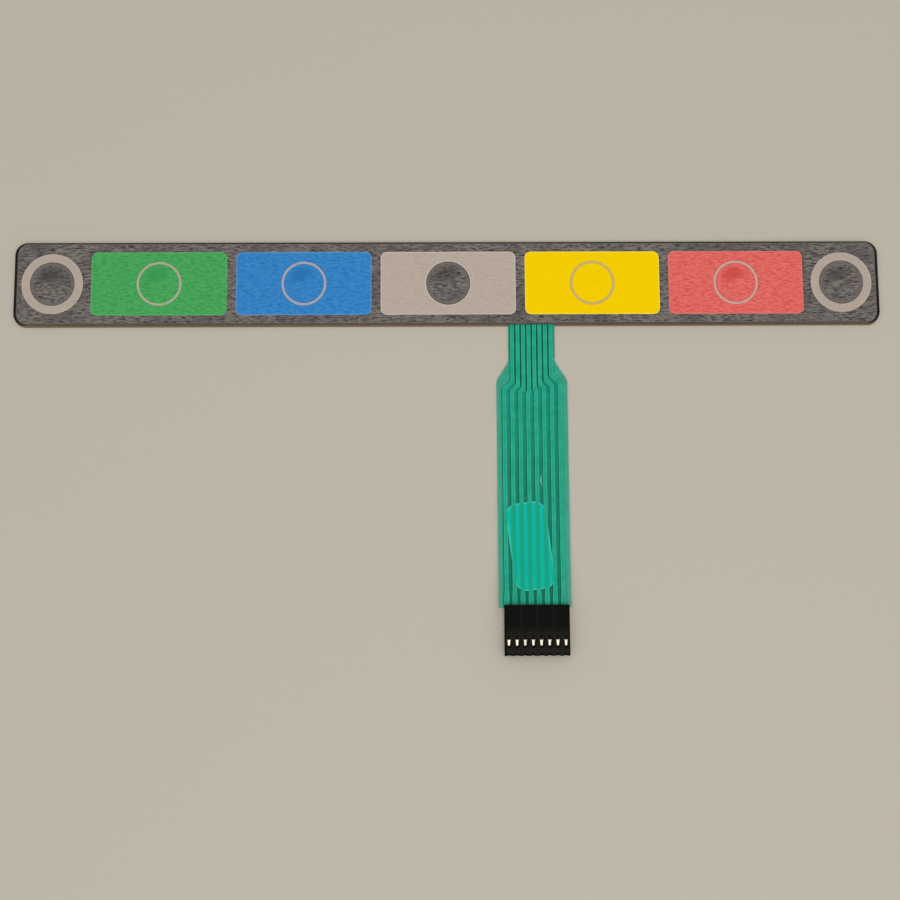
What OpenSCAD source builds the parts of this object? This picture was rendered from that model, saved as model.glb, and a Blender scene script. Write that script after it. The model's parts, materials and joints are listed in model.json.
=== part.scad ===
// Membrane keypad strip: seven snap-dome keys under a printed film, with a flat printed tail and its
// eight-way receptacle.
// Millimetres. The origin is the centre of the strip's underside. +X runs along the strip, +Y points away
// from the tail, and +Z points out of the key face.

/* [Strip] */
// Width of the strip
strip_w = 27.1; // [22.4:0.1:34]
// Corner radius of the strip
strip_r = 4; // [1:0.1:8]
// How far the backing paper shows past the strip's lower edge
liner_peek = 0.55; // [0:0.05:1.5]

/* [Keys] */
// Diameter of the metal snap dome
dome_d = 12; // [8:0.1:14.5]
// Free height of the snap dome
dome_h = 0.57; // [0.4:0.01:0.8]
// Thickness of the snap dome's sheet
dome_t = 0.07; // [0.05:0.01:0.12]
// Gap between the dome's rim and its pocket
dome_play = 0.25; // [0.1:0.05:0.5]
// How far the raised dome in the film stays inside the pocket
crown_inset = 0.05; // [0.05:0.05:0.5]
// Gap between the dome's crown and the print above it
crown_gap = 0.05; // [0.02:0.01:0.2]
// Width of the air channel from pocket to pocket
vent_w = 1.5; // [0.5:0.1:4]

/* [Print] */
// Width of each coloured field
field_w = 43.6; // [34:0.1:55]
// Height of each coloured field
field_h = 20.7; // [17:0.1:25]
// Gap between coloured fields
field_gap = 3; // [0.5:0.1:6]
// Gap between the outer fields and the broad rings
end_gap = 2.65; // [0.5:0.05:6]
// Margin of the strip outside the broad rings
end_margin = 2.35; // [1:0.05:6]
// Corner radius of the coloured fields
field_r = 2; // [0.5:0.1:4]
// Width of the thin ring line round a key
ring_line = 0.8; // [0.4:0.1:1.4]
// Gap between the raised dome in the film and the thin ring line
ring_gap = 0.25; // [0.05:0.05:0.4]
// Dark margin round the raised dome of the end keys and of the middle key
disc_margin = 0.95; // [0.5:0.05:1.5]
// Width of the broad ring round each end key
broad_ring = 2.7; // [1:0.1:3]

/* [Layers] */
// Thickness of the backing paper
liner_t = 0.12; // [0.08:0.01:0.2]
// Thickness of the rear adhesive
rear_glue_t = 0.13; // [0.05:0.01:0.25]
// Thickness of the circuit film
film_t = 0.125; // [0.1:0.005:0.2]
// Thickness of the printed silver
silver_t = 0.02; // [0.015:0.005:0.04]
// Thickness of the green coat over bare film
coat_t = 0.02; // [0.015:0.005:0.04]
// Thickness of the spacer's adhesive
spacer_t = 0.08; // [0.05:0.01:0.15]
// Thickness of the sheet that holds the domes in place
retainer_t = 0.2; // [0.1:0.01:0.3]
// Thickness of the adhesive under the face film
face_glue_t = 0.06; // [0.04:0.01:0.15]
// Thickness of one coat of ink
ink_t = 0.02; // [0.01:0.005:0.04]
// Thickness of the face film
face_t = 0.2; // [0.15:0.01:0.3]

/* [Tail] */
// Place of the tail's centre line along the strip
tail_x = 26.7; // [20:0.1:32]
// Length of the tail from the strip's edge to the back of the receptacle
tail_l = 89.55; // [74:0.05:130]
// Margin of film outside the outer conductors at the root
root_margin = 0.61; // [0.3:0.01:1.2]
// Length of the narrow root
root_l = 10.95; // [6:0.05:16]
// How far the wide part stands out past a centred receptacle on each side
tail_margin = 1.27; // [0.8:0.01:2]
// Slant of the tail's shoulders
shoulder_angle = 33; // [25:1:45]
// Radius at each end of a shoulder
shoulder_r = 4; // [2:0.1:5]
// Height of the slack tail above the table
tail_rest_z = 0.06; // [0.02:0.01:0.2]
// Length of the tail's drop from the strip
drop_l = 16; // [8:0.5:20]
// Length of the tail's gentle ramp up to the pad
ramp_l = 9; // [6:0.5:12]
// Length of the tail's climb to the receptacle
climb_l = 19.5; // [12:0.5:24]

/* [Pad] */
// Width of the adhesive pad under the tail
pad_w = 12.6; // [6:0.1:16]
// Length of the adhesive pad
pad_l = 27.5; // [12:0.1:32]
// Corner radius of the pad
pad_r = 3.6; // [1:0.1:4]
// Thickness of the pad
pad_t = 0.3; // [0.1:0.05:0.6]
// Turn of the pad, as it was stuck on by hand
pad_turn = 7.2; // [-10:0.1:10]
// Distance of the pad's centre from the receptacle
pad_from_end = 18.3; // [16:0.1:24]
// Sideways shift of the pad's centre from the tail's centre line
pad_shift = -1.2; // [-3:0.1:3]

/* [Conductors] */
// Width of a conductor in the tail
line_w = 1.25; // [0.9:0.01:1.5]
// Distance between conductors in the narrow root
root_pitch = 1.775; // [1.475:0.005:2.2]
// Width of a conductor inside the strip
bus_w = 0.7; // [0.4:0.05:0.8]
// Distance of the outermost conductor from the strip's edge
bus_margin = 1.35; // [0.8:0.05:1.6]
// Gap between the innermost conductor and the domes' pockets
bus_clear = 0.4; // [0.3:0.05:1]
// Distance of the common line from the strip's upper edge
common_margin = 2.6; // [1.5:0.1:3]
// Diameter of the contact under a dome's crown
centre_pad_d = 4; // [2:0.1:5]
// Width of the contact ring under a dome's rim
rim_pad_w = 1.4; // [0.8:0.1:2]
// Gap in that ring where the centre's line comes out
rim_pad_gap = 2; // [1.5:0.1:3]
// Overlap of the green coat past the edge of a conductor
coat_lap = 0.1; // [0.05:0.01:0.2]
// Distance from the strip's edge to the jogs beside the middle, on the left
left_jog = 22.75; // [18:0.05:27]
// The same on the right
right_jog = 21.75; // [18:0.05:26]
// Step from one line's jog to the next on the left
left_jog_step = 0.88; // [0.5:0.01:1.2]
// The same on the right
right_jog_step = 1.1; // [0.5:0.01:1.35]
// Gap between conductors where they are crimped
crimp_pad_gap = 1; // [0.4:0.02:1.1]
// Distance from the receptacle at which the conductors have reached that width
crimp_pad_lead = 2.2; // [1:0.1:4]
// Length over which they widen to it
flare_l = 2.6; // [0.5:0.1:4]

/* [Receptacle] */
// Distance between ways
way_pitch = 2.54; // [2.5:0.01:3.2]
// Length of the moulding
mould_l = 15.8; // [12.6:0.1:19]
// Sideways shift of the receptacle from the tail's centre line, as it was crimped on
mould_shift = 0.45; // [-0.6:0.05:0.6]
// Height of the moulding
mould_h = 3; // [2.5:0.05:4]
// Chamfer along the moulding's long edges
mould_chamfer = 0.2; // [0.1:0.05:0.4]
// Thickness of the moulding's top and bottom walls
wall_t = 0.45; // [0.35:0.05:0.6]
// Thickness of its front wall
front_wall_t = 1.2; // [0.8:0.05:1.5]
// Thickness of the ribs between ways
rib_t = 0.6; // [0.4:0.05:0.8]
// Height of the slot that takes the film
slot_h = 1; // [0.7:0.05:1.2]
// How far the green coat reaches into the moulding
coat_grip = 1; // [0:0.1:2]
// How far a window over a latch stays inside its cavity on each side
window_inset = 0.145; // [0:0.005:0.25]
// Length of the windows
window_l = 3.2; // [2.6:0.1:3.9]
// Distance of the windows from the mating face
window_setback = 2.8; // [1.9:0.05:3.3]
// Radius of the half-round notches in the mating edge
notch_r = 0.8; // [0.4:0.05:0.95]
// Diameter of the pin entries at the mating face
entry_mouth_d = 1.9; // [1.5:0.05:2.3]
// Diameter of their throats
entry_throat_d = 1; // [0.8:0.05:1.2]
// Depth of the fine grooves over the crimps
groove_depth = 0.1; // [0.05:0.01:0.2]
// Width of those grooves
groove_w = 0.2; // [0.1:0.05:0.4]
// Number of ways from one groove to the next
groove_ways = 2; // [1, 2, 4]
// Step down of the moulding's rear part
rear_step = 0.1; // [0.05:0.01:0.2]

/* [Contacts] */
// Thickness of the contact's sheet metal
metal_t = 0.2; // [0.15:0.01:0.25]
// Gap between a contact's box and its cavity
box_play = 0.1; // [0.05:0.01:0.2]
// Length of the contact's box
box_l = 6.4; // [5:0.1:6.8]
// Length of the sloping neck between the box and the crimp
neck_l = 0.5; // [0.4:0.05:1]
// Gap between the two springs where they grip a pin
spring_gap = 0.5; // [0.4:0.01:0.6]
// Gap between the latch's free end and the sides of its window
latch_play = 0.225; // [0.1:0.005:0.3]
// Width of the latch at its root
latch_root_w = 0.7; // [0.5:0.05:0.9]
// Length of the latch
latch_l = 2.3; // [1.8:0.1:2.8]
// Gap between the latch's free end and the roof of the box behind it
latch_gap = 0.2; // [0.1:0.05:0.4]
// Rise of the latch
latch_angle = 8; // [4:0.5:10]
// Depth of the notch in the latch's end
latch_notch = 0.4; // [0.2:0.05:0.6]
// Gap between the crimp and the sides of its cavity
crimp_play = 0.22; // [0.1:0.01:0.3]
// Length of one claw of the crimp
claw_l = 1.2; // [0.8:0.1:1.5]
// Clearance of a claw in the hole that it pierced
claw_play = 0.03; // [0.01:0.01:0.05]
// Number of claw pairs on a contact
claw_rows = 2; // [1, 2, 3]

/* [Hidden] */
$fn = 64;

// Sizes round a key
pocket_d = dome_d + 2 * dome_play;
crown_d = pocket_d - 2 * crown_inset;
ring_id = crown_d + 2 * ring_gap;
ring_od = ring_id + 2 * ring_line;
disc_d = crown_d + 2 * disc_margin;
broad_od = disc_d + 2 * broad_ring;

// Key places, from left to right, and the length of the strip, which follow from the print
key_pitch = field_w + field_gap;
end_key_x = 2 * key_pitch + field_w / 2 + end_gap + broad_od / 2;
strip_l = 2 * (end_key_x + broad_od / 2 + end_margin);
key_x = [-end_key_x, -2 * key_pitch, -key_pitch, 0, key_pitch, 2 * key_pitch, end_key_x];
middle_key = 3;
last_key = len(key_x) - 1;
ways = len(key_x) + 1;

// Heights of the layers' undersides
rear_glue_z = liner_t;
film_z0 = rear_glue_z + rear_glue_t;
coat_top = silver_t + coat_t;
spacer_z = film_z0 + film_t + coat_top;
retainer_z = spacer_z + spacer_t;
face_glue_z = retainer_z + retainer_t;
flood_z = face_glue_z + face_glue_t;
colour_z = flood_z + ink_t;
face_z = colour_z + ink_t;
dome_z = film_z0 + film_t + silver_t;
crown_rise = dome_z + dome_h + crown_gap - flood_z;

// Places down the tail. The film reaches into the moulding as far as the contacts' necks
film_grip = mould_l - front_wall_t - box_play - box_l - neck_l;
edge_y = -strip_w / 2;
mould_back = edge_y - tail_l;
mould_front = mould_back - mould_l;
film_end = mould_back - film_grip;
mould_w = ways * way_pitch;
tail_w = mould_w + 2 * tail_margin;
root_w = (ways - 1) * root_pitch + line_w + 2 * root_margin;
climb_y = mould_back + climb_l;
pad_y = mould_back + pad_from_end;
pad_half = (pad_l * cos(pad_turn) + pad_w * abs(sin(pad_turn))) / 2;
ramp_y = pad_y + pad_half + ramp_l;
slot_z = (mould_h - film_t) / 2;

// Heights and lengths inside the receptacle
cavity_w = way_pitch - rib_t;
cavity_h = mould_h - 2 * wall_t;
window_w = cavity_w - 2 * window_inset;
box_w = cavity_w - 2 * box_play;
box_h = cavity_h - 2 * box_play;
box_z = wall_t + box_play;
box_front = front_wall_t + box_play;
box_back = box_front + box_l;
latch_w = window_w - 2 * latch_play;
crimp_w = cavity_w - 2 * crimp_play;
crimp_pad_w = way_pitch - crimp_pad_gap;
claw_pitch = (film_grip - coat_grip) / (claw_rows + 0.5);

// Route of the conductors: the keys to the left of the tail come first, then the common line, then the
// keys to its right. The outermost lines run nearest to the strip's edge, so that none has to cross.
common_way = middle_key + 1;
common_y = strip_w / 2 - common_margin;
bus_pitch = (strip_w / 2 - bus_margin - bus_w / 2 - bus_clear - pocket_d / 2) / (common_way - 1);

function root_x(way) = tail_x + (way - (ways - 1) / 2) * root_pitch;
function way_x(way) = tail_x + (way - (ways - 1) / 2) * way_pitch;
function seat_x(way) = way_x(way) + mould_shift;
function key_of(way) = way < common_way ? way : way - 1;
function bus_y(way) = edge_y + bus_margin + bus_pitch * (way < common_way ? way : ways - 1 - way);
function jog_y(way) = edge_y + (way < ways / 2
    ? left_jog_step * ((ways - 1) / 2 - way) - left_jog
    : right_jog_step * (way - (ways - 1) / 2) - right_jog);

// A number eased from 0 to 1
function ease(t) = let (u = min(1, max(0, t))) u * u * (3 - 2 * u);

// Height of the circuit film's underside: level in the strip, slack on the table, up a ramp to the pad's
// thickness, and up again to the receptacle's slot
function film_z(y) = film_z0
    + (tail_rest_z - film_z0) * ease((edge_y - y) / drop_l)
    + (pad_t - tail_rest_z) * ease((ramp_y - y) / ramp_l)
    + (slot_z - pad_t) * ease((climb_y - y) / climb_l);

// Evenly spaced places from one to another
function stretch(from, to, steps) = [for (i = [0:steps]) from + (to - from) * i / steps];

// Points on an arc
function arc(x, y, r, a0, a1, steps = 8) =
    [for (i = [0:steps]) let (a = a0 + (a1 - a0) * i / steps) [x + r * cos(a), y + r * sin(a)]];

// A list turned end for end
function reversed(list) = [for (i = [len(list) - 1:-1:0]) list[i]];

// Direction from one point to the next, and its left-hand normal
function heading(a, b) = (b - a) / norm(b - a);
function left_of(d) = [-d[1], d[0]];

// One edge of a ribbon with mitred corners that follows a list of points
function ribbon_edge(points, offset) = [for (i = [0:len(points) - 1])
    let (before = heading(points[max(i - 1, 0)], points[max(i, 1)]),
        after = heading(points[min(i, len(points) - 2)], points[min(i + 1, len(points) - 1)]),
        mitre = left_of(before) + left_of(after))
    points[i] + mitre * offset * 2 / (mitre * mitre)];

// Height of the raised dome in the face film, at a distance from the key's centre
function crown(r) = r < crown_d / 2 ? crown_rise * (1 + cos(360 * r / crown_d)) / 2 : 0;

// FLAT SHAPES

module rounded(w, h, r) {
    square([w - 2 * r, h], center = true);
    square([w, h - 2 * r], center = true);
    for (x = [-1, 1], y = [-1, 1])
        translate([x * (w / 2 - r), y * (h / 2 - r)]) circle(r);
}

module ribbon(points, w) {
    polygon(concat(ribbon_edge(points, -w / 2), reversed(ribbon_edge(points, w / 2))));
}

module strip_outline() {
    rounded(strip_l, strip_w, strip_r);
}

module at_keys(keys) {
    for (k = keys) translate([key_x[k], 0]) children();
}

module ring(d_out, d_in) {
    difference() {
        circle(d = d_out);
        circle(d = d_in);
    }
}

// The tail: a narrow root, slanted shoulders with a radius at each end, and the wide part down to its end.
// The points run up the right-hand side and down the left.
module tail_outline(end_y) {
    dx = (tail_w - root_w) / 2;
    slant = (dx - 2 * shoulder_r * (1 - cos(shoulder_angle))) / sin(shoulder_angle);
    y1 = edge_y - root_l;
    y2 = y1 - 2 * shoulder_r * sin(shoulder_angle) - slant * cos(shoulder_angle);
    right = concat([[tail_w / 2, end_y]],
        arc(tail_w / 2 - shoulder_r, y2, shoulder_r, 0, shoulder_angle),
        arc(root_w / 2 + shoulder_r, y1, shoulder_r, 180 + shoulder_angle, 180),
        [[root_w / 2, edge_y + strip_r]]);
    left = [for (p = reversed(right)) [-p[0], p[1]]];
    translate([tail_x, 0]) polygon(concat(right, left));
}

// CIRCUIT

// Solid that follows the circuit film's height, from lo to hi above its underside
module follow_film(lo, hi) {
    bend_ys = concat(stretch(edge_y, edge_y - drop_l, 8), stretch(ramp_y, ramp_y - ramp_l, 5),
        stretch(climb_y, mould_back, 9));
    ys = concat([strip_w], bend_ys, [film_end - 1]);
    low = [for (y = ys) [y, film_z(y) + lo]];
    high = [for (y = ys) [y, film_z(y) + hi]];
    intersection() {
        translate([0, 0, -1]) linear_extrude(mould_h + 2) children();
        translate([-strip_l, 0, 0]) rotate([90, 0, 90]) linear_extrude(2 * strip_l)
            polygon(concat(high, reversed(low)));
    }
}

// One conductor in the tail, from inside the strip down to its crimp
module tail_line(way, grow = 0) {
    x0 = root_x(way);
    x1 = way_x(way);
    half_jog = abs(x1 - x0) / 2;
    top = way == common_way ? common_y : bus_y(way);
    wide_y = mould_back + crimp_pad_lead;
    end_y = film_end + claw_pitch / 4;
    ribbon([[x0, top + bus_w / 2 + grow], [x0, jog_y(way) + half_jog], [x1, jog_y(way) - half_jog],
        [x1, end_y - grow]], line_w + 2 * grow);
    translate([x1, 0]) polygon([
        [-crimp_pad_w / 2 - grow, end_y - grow], [crimp_pad_w / 2 + grow, end_y - grow],
        [crimp_pad_w / 2 + grow, wide_y], [line_w / 2 + grow, wide_y + flare_l],
        [-line_w / 2 - grow, wide_y + flare_l], [-crimp_pad_w / 2 - grow, wide_y]]);
}

// One key's line inside the strip: the contact under the crown, the lead down and the run to the tail
module key_line(way) {
    x = key_x[key_of(way)];
    ribbon([[x, 0], [x, bus_y(way)], [root_x(way), bus_y(way)]], bus_w);
    translate([x, 0]) circle(d = centre_pad_d);
}

// The common line inside the strip: one run along the upper edge, with a contact ring for every key
module common_line() {
    rim_d = dome_d - rim_pad_w / 2;
    translate([-end_key_x - bus_w / 2, common_y - bus_w / 2]) square([2 * end_key_x + bus_w, bus_w]);
    at_keys([0:last_key]) {
        translate([-bus_w / 2, rim_d / 2]) square([bus_w, common_y - rim_d / 2]);
        difference() {
            ring(rim_d + rim_pad_w, rim_d - rim_pad_w);
            translate([-rim_pad_gap / 2, -dome_d]) square([rim_pad_gap, dome_d]);
        }
    }
}

module claw_holes(play) {
    for (way = [0:ways - 1], row = [0:claw_rows - 1], side = [-1, 1])
        translate([seat_x(way) + side * (crimp_w - metal_t) / 2, claw_y(row)])
            square([metal_t + 2 * play, claw_l + 2 * play], center = true);
}

function claw_y(row) = film_end + claw_pitch * (row + 0.75);

module circuit_film() {
    color("#cfe6dc", 0.4) follow_film(0, film_t) difference() {
        union() {
            strip_outline();
            tail_outline(film_end);
        }
        claw_holes(claw_play);
    }
}

module conductor_print() {
    color("#c6c9c4") follow_film(film_t, film_t + silver_t) difference() {
        union() {
            for (way = [0:ways - 1]) tail_line(way);
            for (way = [0:ways - 1]) if (way != common_way) key_line(way);
            common_line();
        }
        claw_holes(claw_play);
    }
}

// The green coat: a thin film over everything but the domes' pockets, with a ridge over each conductor
module insulating_coat() {
    coat_end = mould_back - coat_grip;
    color("#2fa883", 0.6) difference() {
        union() {
            follow_film(film_t, film_t + coat_t) difference() {
                union() {
                    strip_outline();
                    tail_outline(coat_end);
                }
                at_keys([0:last_key]) circle(d = pocket_d);
            }
            follow_film(film_t, film_t + coat_top) intersection() {
                tail_outline(coat_end);
                translate([-strip_l, edge_y - 2 * strip_l]) square(2 * strip_l);
                for (way = [0:ways - 1]) tail_line(way, coat_lap);
            }
            follow_film(film_t, film_t + coat_top) difference() {
                strip_outline();
                at_keys([0:last_key]) circle(d = pocket_d);
            }
        }
        follow_film(film_t, film_t + silver_t) {
            for (way = [0:ways - 1]) tail_line(way);
            for (way = [0:ways - 1]) if (way != common_way) key_line(way);
            common_line();
        }
    }
}

module tail_pad() {
    color("#8fd0e6") follow_film(-pad_t, 0)
        translate([tail_x + pad_shift, pad_y]) rotate(pad_turn) rounded(pad_w, pad_l, pad_r);
}

// LAYERS OF THE STRIP

module release_liner() {
    color("#a98f5e") linear_extrude(liner_t) translate([0, -liner_peek / 2])
        rounded(strip_l, strip_w + liner_peek, strip_r);
}

module rear_adhesive() {
    color("#d9d6c6") translate([0, 0, rear_glue_z]) linear_extrude(rear_glue_t) strip_outline();
}

module spacer_adhesive() {
    color("#e4e2d4") translate([0, 0, spacer_z]) linear_extrude(spacer_t) difference() {
        strip_outline();
        at_keys([0:last_key]) circle(d = pocket_d);
        translate([-end_key_x, -vent_w / 2]) square([2 * end_key_x, vent_w]);
    }
}

module dome_retainer() {
    color("#f1efe8") translate([0, 0, retainer_z]) linear_extrude(retainer_t) difference() {
        strip_outline();
        at_keys([0:last_key]) circle(d = pocket_d);
    }
}

module overlay_adhesive() {
    color("#dfdccd") translate([0, 0, face_glue_z]) linear_extrude(face_glue_t) difference() {
        strip_outline();
        at_keys([0:last_key]) circle(d = pocket_d);
    }
}

// A snap dome is a shallow cap of thin sheet whose rim rests on the contact ring
module snap_dome(key) {
    mid_h = dome_h - dome_t;
    r = (mid_h * mid_h + dome_d * dome_d / 4) / (2 * mid_h);
    half = asin(dome_d / 2 / r);
    outer = arc(0, 0, r + dome_t / 2, 90, 90 - half, 12);
    inner = arc(0, 0, r - dome_t / 2, 90, 90 - half, 12);
    lift = dome_z - (r - dome_t / 2) * cos(half);
    color("#d8d9dc") translate([key_x[key], 0, lift]) rotate_extrude()
        polygon(concat(outer, reversed(inner)));
}

// PRINT AND FACE

// A thin sheet at the face, from lo to hi, that rises into a shallow dome over each key that it covers
module face_sheet(lo, hi, keys) {
    steps = 10;
    rs = [for (i = [0:steps]) crown_d / 2 * i / steps];
    translate([0, 0, lo]) linear_extrude(hi - lo) difference() {
        children();
        at_keys(keys) circle(d = crown_d);
    }
    at_keys(keys) rotate_extrude()
        polygon(concat([for (r = rs) [r, lo + crown(r)]], reversed([for (r = rs) [r, hi + crown(r)]])));
}

module fields(keys) {
    at_keys(keys) rounded(field_w, field_h, field_r);
}

// The beige shows wherever the other inks leave an opening: in the rings and in the middle field
module beige_openings() {
    at_keys([1, 2, 4, 5]) ring(ring_od, ring_id);
    at_keys([0, last_key]) ring(broad_od, disc_d);
    difference() {
        fields([middle_key]);
        at_keys([middle_key]) circle(d = disc_d);
    }
}

module beige_ink() {
    color("#baac9f") {
        face_sheet(flood_z, colour_z, [0:last_key]) strip_outline();
        translate([0, 0, colour_z]) linear_extrude(ink_t) beige_openings();
    }
}

module charcoal_ink() {
    color("#57565a") face_sheet(colour_z, face_z, [0, middle_key, last_key]) {
        difference() {
            strip_outline();
            fields([1:5]);
            at_keys([0, last_key]) ring(broad_od, disc_d);
        }
        at_keys([middle_key]) circle(d = disc_d);
    }
}

module colour_field(key) {
    face_sheet(colour_z, face_z, [key]) difference() {
        fields([key]);
        at_keys([key]) ring(ring_od, ring_id);
    }
}

module overlay_film() {
    color("#eef0f2", 0.25) face_sheet(face_z, face_z + face_t, [0:last_key]) strip_outline();
}

// RECEPTACLE

// Something placed at one way, with y = 0 at the mating face and y growing towards the strip
module at_way(way) {
    translate([seat_x(way), mould_front, 0]) children();
}

module mould_body() {
    c = mould_chamfer;
    w = mould_w / 2;
    translate([tail_x + mould_shift, mould_back, 0]) rotate([90, 0, 0]) linear_extrude(mould_l)
        polygon([[-w + c, 0], [w - c, 0], [w, c], [w, mould_h - c], [w - c, mould_h],
            [-w + c, mould_h], [-w, mould_h - c], [-w, c]]);
}

// Plan of a window over a latch, round at its front end
module window_plan() {
    translate([0, window_setback + window_w / 2]) circle(d = window_w);
    translate([-window_w / 2, window_setback + window_w / 2]) square([window_w, window_l - window_w / 2]);
}

// Pin entry with a conical lead
module pin_entry() {
    mouth_r = entry_mouth_d / 2;
    throat_r = entry_throat_d / 2;
    translate([0, 0, mould_h / 2]) rotate([-90, 0, 0]) rotate_extrude()
        polygon([[0, -1], [mouth_r, -1], [mouth_r, 0], [throat_r, mouth_r - throat_r],
            [throat_r, front_wall_t + 1], [0, front_wall_t + 1]]);
}

module connector_housing() {
    crimp_zone = film_grip + box_play;
    notch_z = mould_h / 2 + (entry_mouth_d + entry_throat_d) / 4;
    color("#161616") difference() {
        mould_body();
        // Slot for the film, open at the back and at both sides
        translate([tail_x - mould_w, mould_back - crimp_zone, (mould_h - slot_h) / 2])
            cube([2 * mould_w, mould_l, slot_h]);
        // Lower top face over the crimps
        translate([tail_x - mould_w, mould_back - crimp_zone, mould_h - rear_step])
            cube([2 * mould_w, mould_l, mould_h]);
        // Fine grooves in that face
        for (way = [groove_ways:groove_ways:ways - groove_ways])
            translate([seat_x(way) - (way_pitch + groove_w) / 2, mould_back - crimp_zone,
                mould_h - rear_step - groove_depth]) cube([groove_w, mould_l, mould_h]);
        // Cavities for the contacts
        for (way = [0:ways - 1]) at_way(way)
            translate([-cavity_w / 2, front_wall_t, wall_t]) cube([cavity_w, mould_l, cavity_h]);
        for (way = [0:ways - 1]) at_way(way) pin_entry();
        // Half-round notches in the upper mating edge
        for (way = [0:ways - 1]) at_way(way) translate([0, 0, notch_z]) cylinder(r = notch_r, h = mould_h);
        for (way = [0:ways - 1]) at_way(way)
            translate([0, 0, mould_h / 2]) linear_extrude(mould_h) window_plan();
    }
}

// A crimp contact: a box with two springs for the pin, a latch in the moulding's window, a sloping neck,
// and a base whose claws go up through the film and fold down on the conductor
module contact(way) {
    base_y0 = box_back + neck_l;
    base_z = slot_z - metal_t;
    base_l = claw_pitch * claw_rows;
    film_top = slot_z + film_t + silver_t;
    box_top = box_z + box_h;
    latch_y = window_setback + metal_t;
    inside_w = box_w - 2 * metal_t;
    color("#e3c988") at_way(way) {
        // Box, with the opening that its latch was bent out of
        difference() {
            translate([0, box_back, 0]) rotate([90, 0, 0]) linear_extrude(box_l) difference() {
                translate([-box_w / 2, box_z]) square([box_w, box_h]);
                translate([-inside_w / 2, box_z + metal_t]) square([inside_w, box_h - 2 * metal_t]);
            }
            translate([-inside_w / 2, latch_y + metal_t, box_top - 2 * metal_t])
                cube([inside_w, latch_l + latch_gap - metal_t, 3 * metal_t]);
        }
        // Springs that close towards the front and open again at the pin's entry
        for (side = [0, 1]) mirror([side, 0, 0])
            translate([0, 0, box_z + 2 * metal_t]) linear_extrude(box_h - 4 * metal_t)
                ribbon([[box_w / 2 - metal_t, box_back], [box_w / 2 - 1.5 * metal_t, box_back - box_l / 4],
                    [spring_gap / 2 + metal_t / 2, box_front + box_l / 4],
                    [spring_gap / 2 + metal_t, box_front + metal_t]], metal_t / 2);
        // Latch with a notched free end
        translate([0, latch_y, box_top - metal_t]) rotate([latch_angle, 0, 0])
            linear_extrude(metal_t) polygon([[-latch_root_w / 2, 0], [latch_root_w / 2, 0],
                [latch_w / 2, latch_l], [0, latch_l - latch_notch], [-latch_w / 2, latch_l]]);
        // Neck and base
        translate([-crimp_w / 2, 0, 0]) rotate([90, 0, 90]) linear_extrude(crimp_w)
            polygon([[box_back - metal_t, box_z], [box_back, box_z], [base_y0 + metal_t / 2, base_z],
                [base_y0 + base_l, base_z], [base_y0 + base_l, base_z + metal_t],
                [base_y0, base_z + metal_t], [box_back - metal_t, box_z + metal_t]]);
        // Claws
        for (row = [0:claw_rows - 1], side = [0, 1]) mirror([side, 0, 0])
            translate([0, claw_y(row) - mould_front + claw_l / 2, 0]) rotate([90, 0, 0])
                linear_extrude(claw_l) polygon([[crimp_w / 2 - metal_t, base_z + metal_t / 2],
                    [crimp_w / 2, base_z + metal_t / 2], [crimp_w / 2, film_top + metal_t],
                    [metal_t / 4, film_top + metal_t], [metal_t / 4, film_top],
                    [crimp_w / 2 - metal_t, film_top]]);
    }
}

release_liner();
rear_adhesive();
circuit_film();
conductor_print();
insulating_coat();
spacer_adhesive();
dome_retainer();
snap_dome(0);  // key_1_dome
snap_dome(1);  // key_2_dome
snap_dome(2);  // key_3_dome
snap_dome(3);  // key_4_dome
snap_dome(4);  // key_5_dome
snap_dome(5);  // key_6_dome
snap_dome(6);  // key_7_dome
overlay_adhesive();
beige_ink();
charcoal_ink();
color("#3eaa50") colour_field(1);  // green_ink
color("#3282cd") colour_field(2);  // blue_ink
color("#fad400") colour_field(4);  // yellow_ink
color("#e45550") colour_field(5);  // red_ink
overlay_film();
tail_pad();
connector_housing();
contact(0);  // contact_1
contact(1);  // contact_2
contact(2);  // contact_3
contact(3);  // contact_4
contact(4);  // contact_5
contact(5);  // contact_6
contact(6);  // contact_7
contact(7);  // contact_8
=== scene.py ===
# %% [markdown]
# # A membrane keypad strip
#
# A membrane keypad is a stack of thin sheets. From below these are paper, glue, a clear film with
# printed silver lines under a green coat, a sheet that holds seven snap domes, and a face film that is
# printed from behind. One tongue of the circuit film leaves the strip as its tail and ends in a black
# receptacle.
#
# The solid pieces come from the part as it was packed, in metres, with +Z up. This lesson gives them
# their finishes, and rebuilds the print and the green coat in finer meshes, because those are what the
# eye rests on.

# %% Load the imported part
import json
import math

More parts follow.
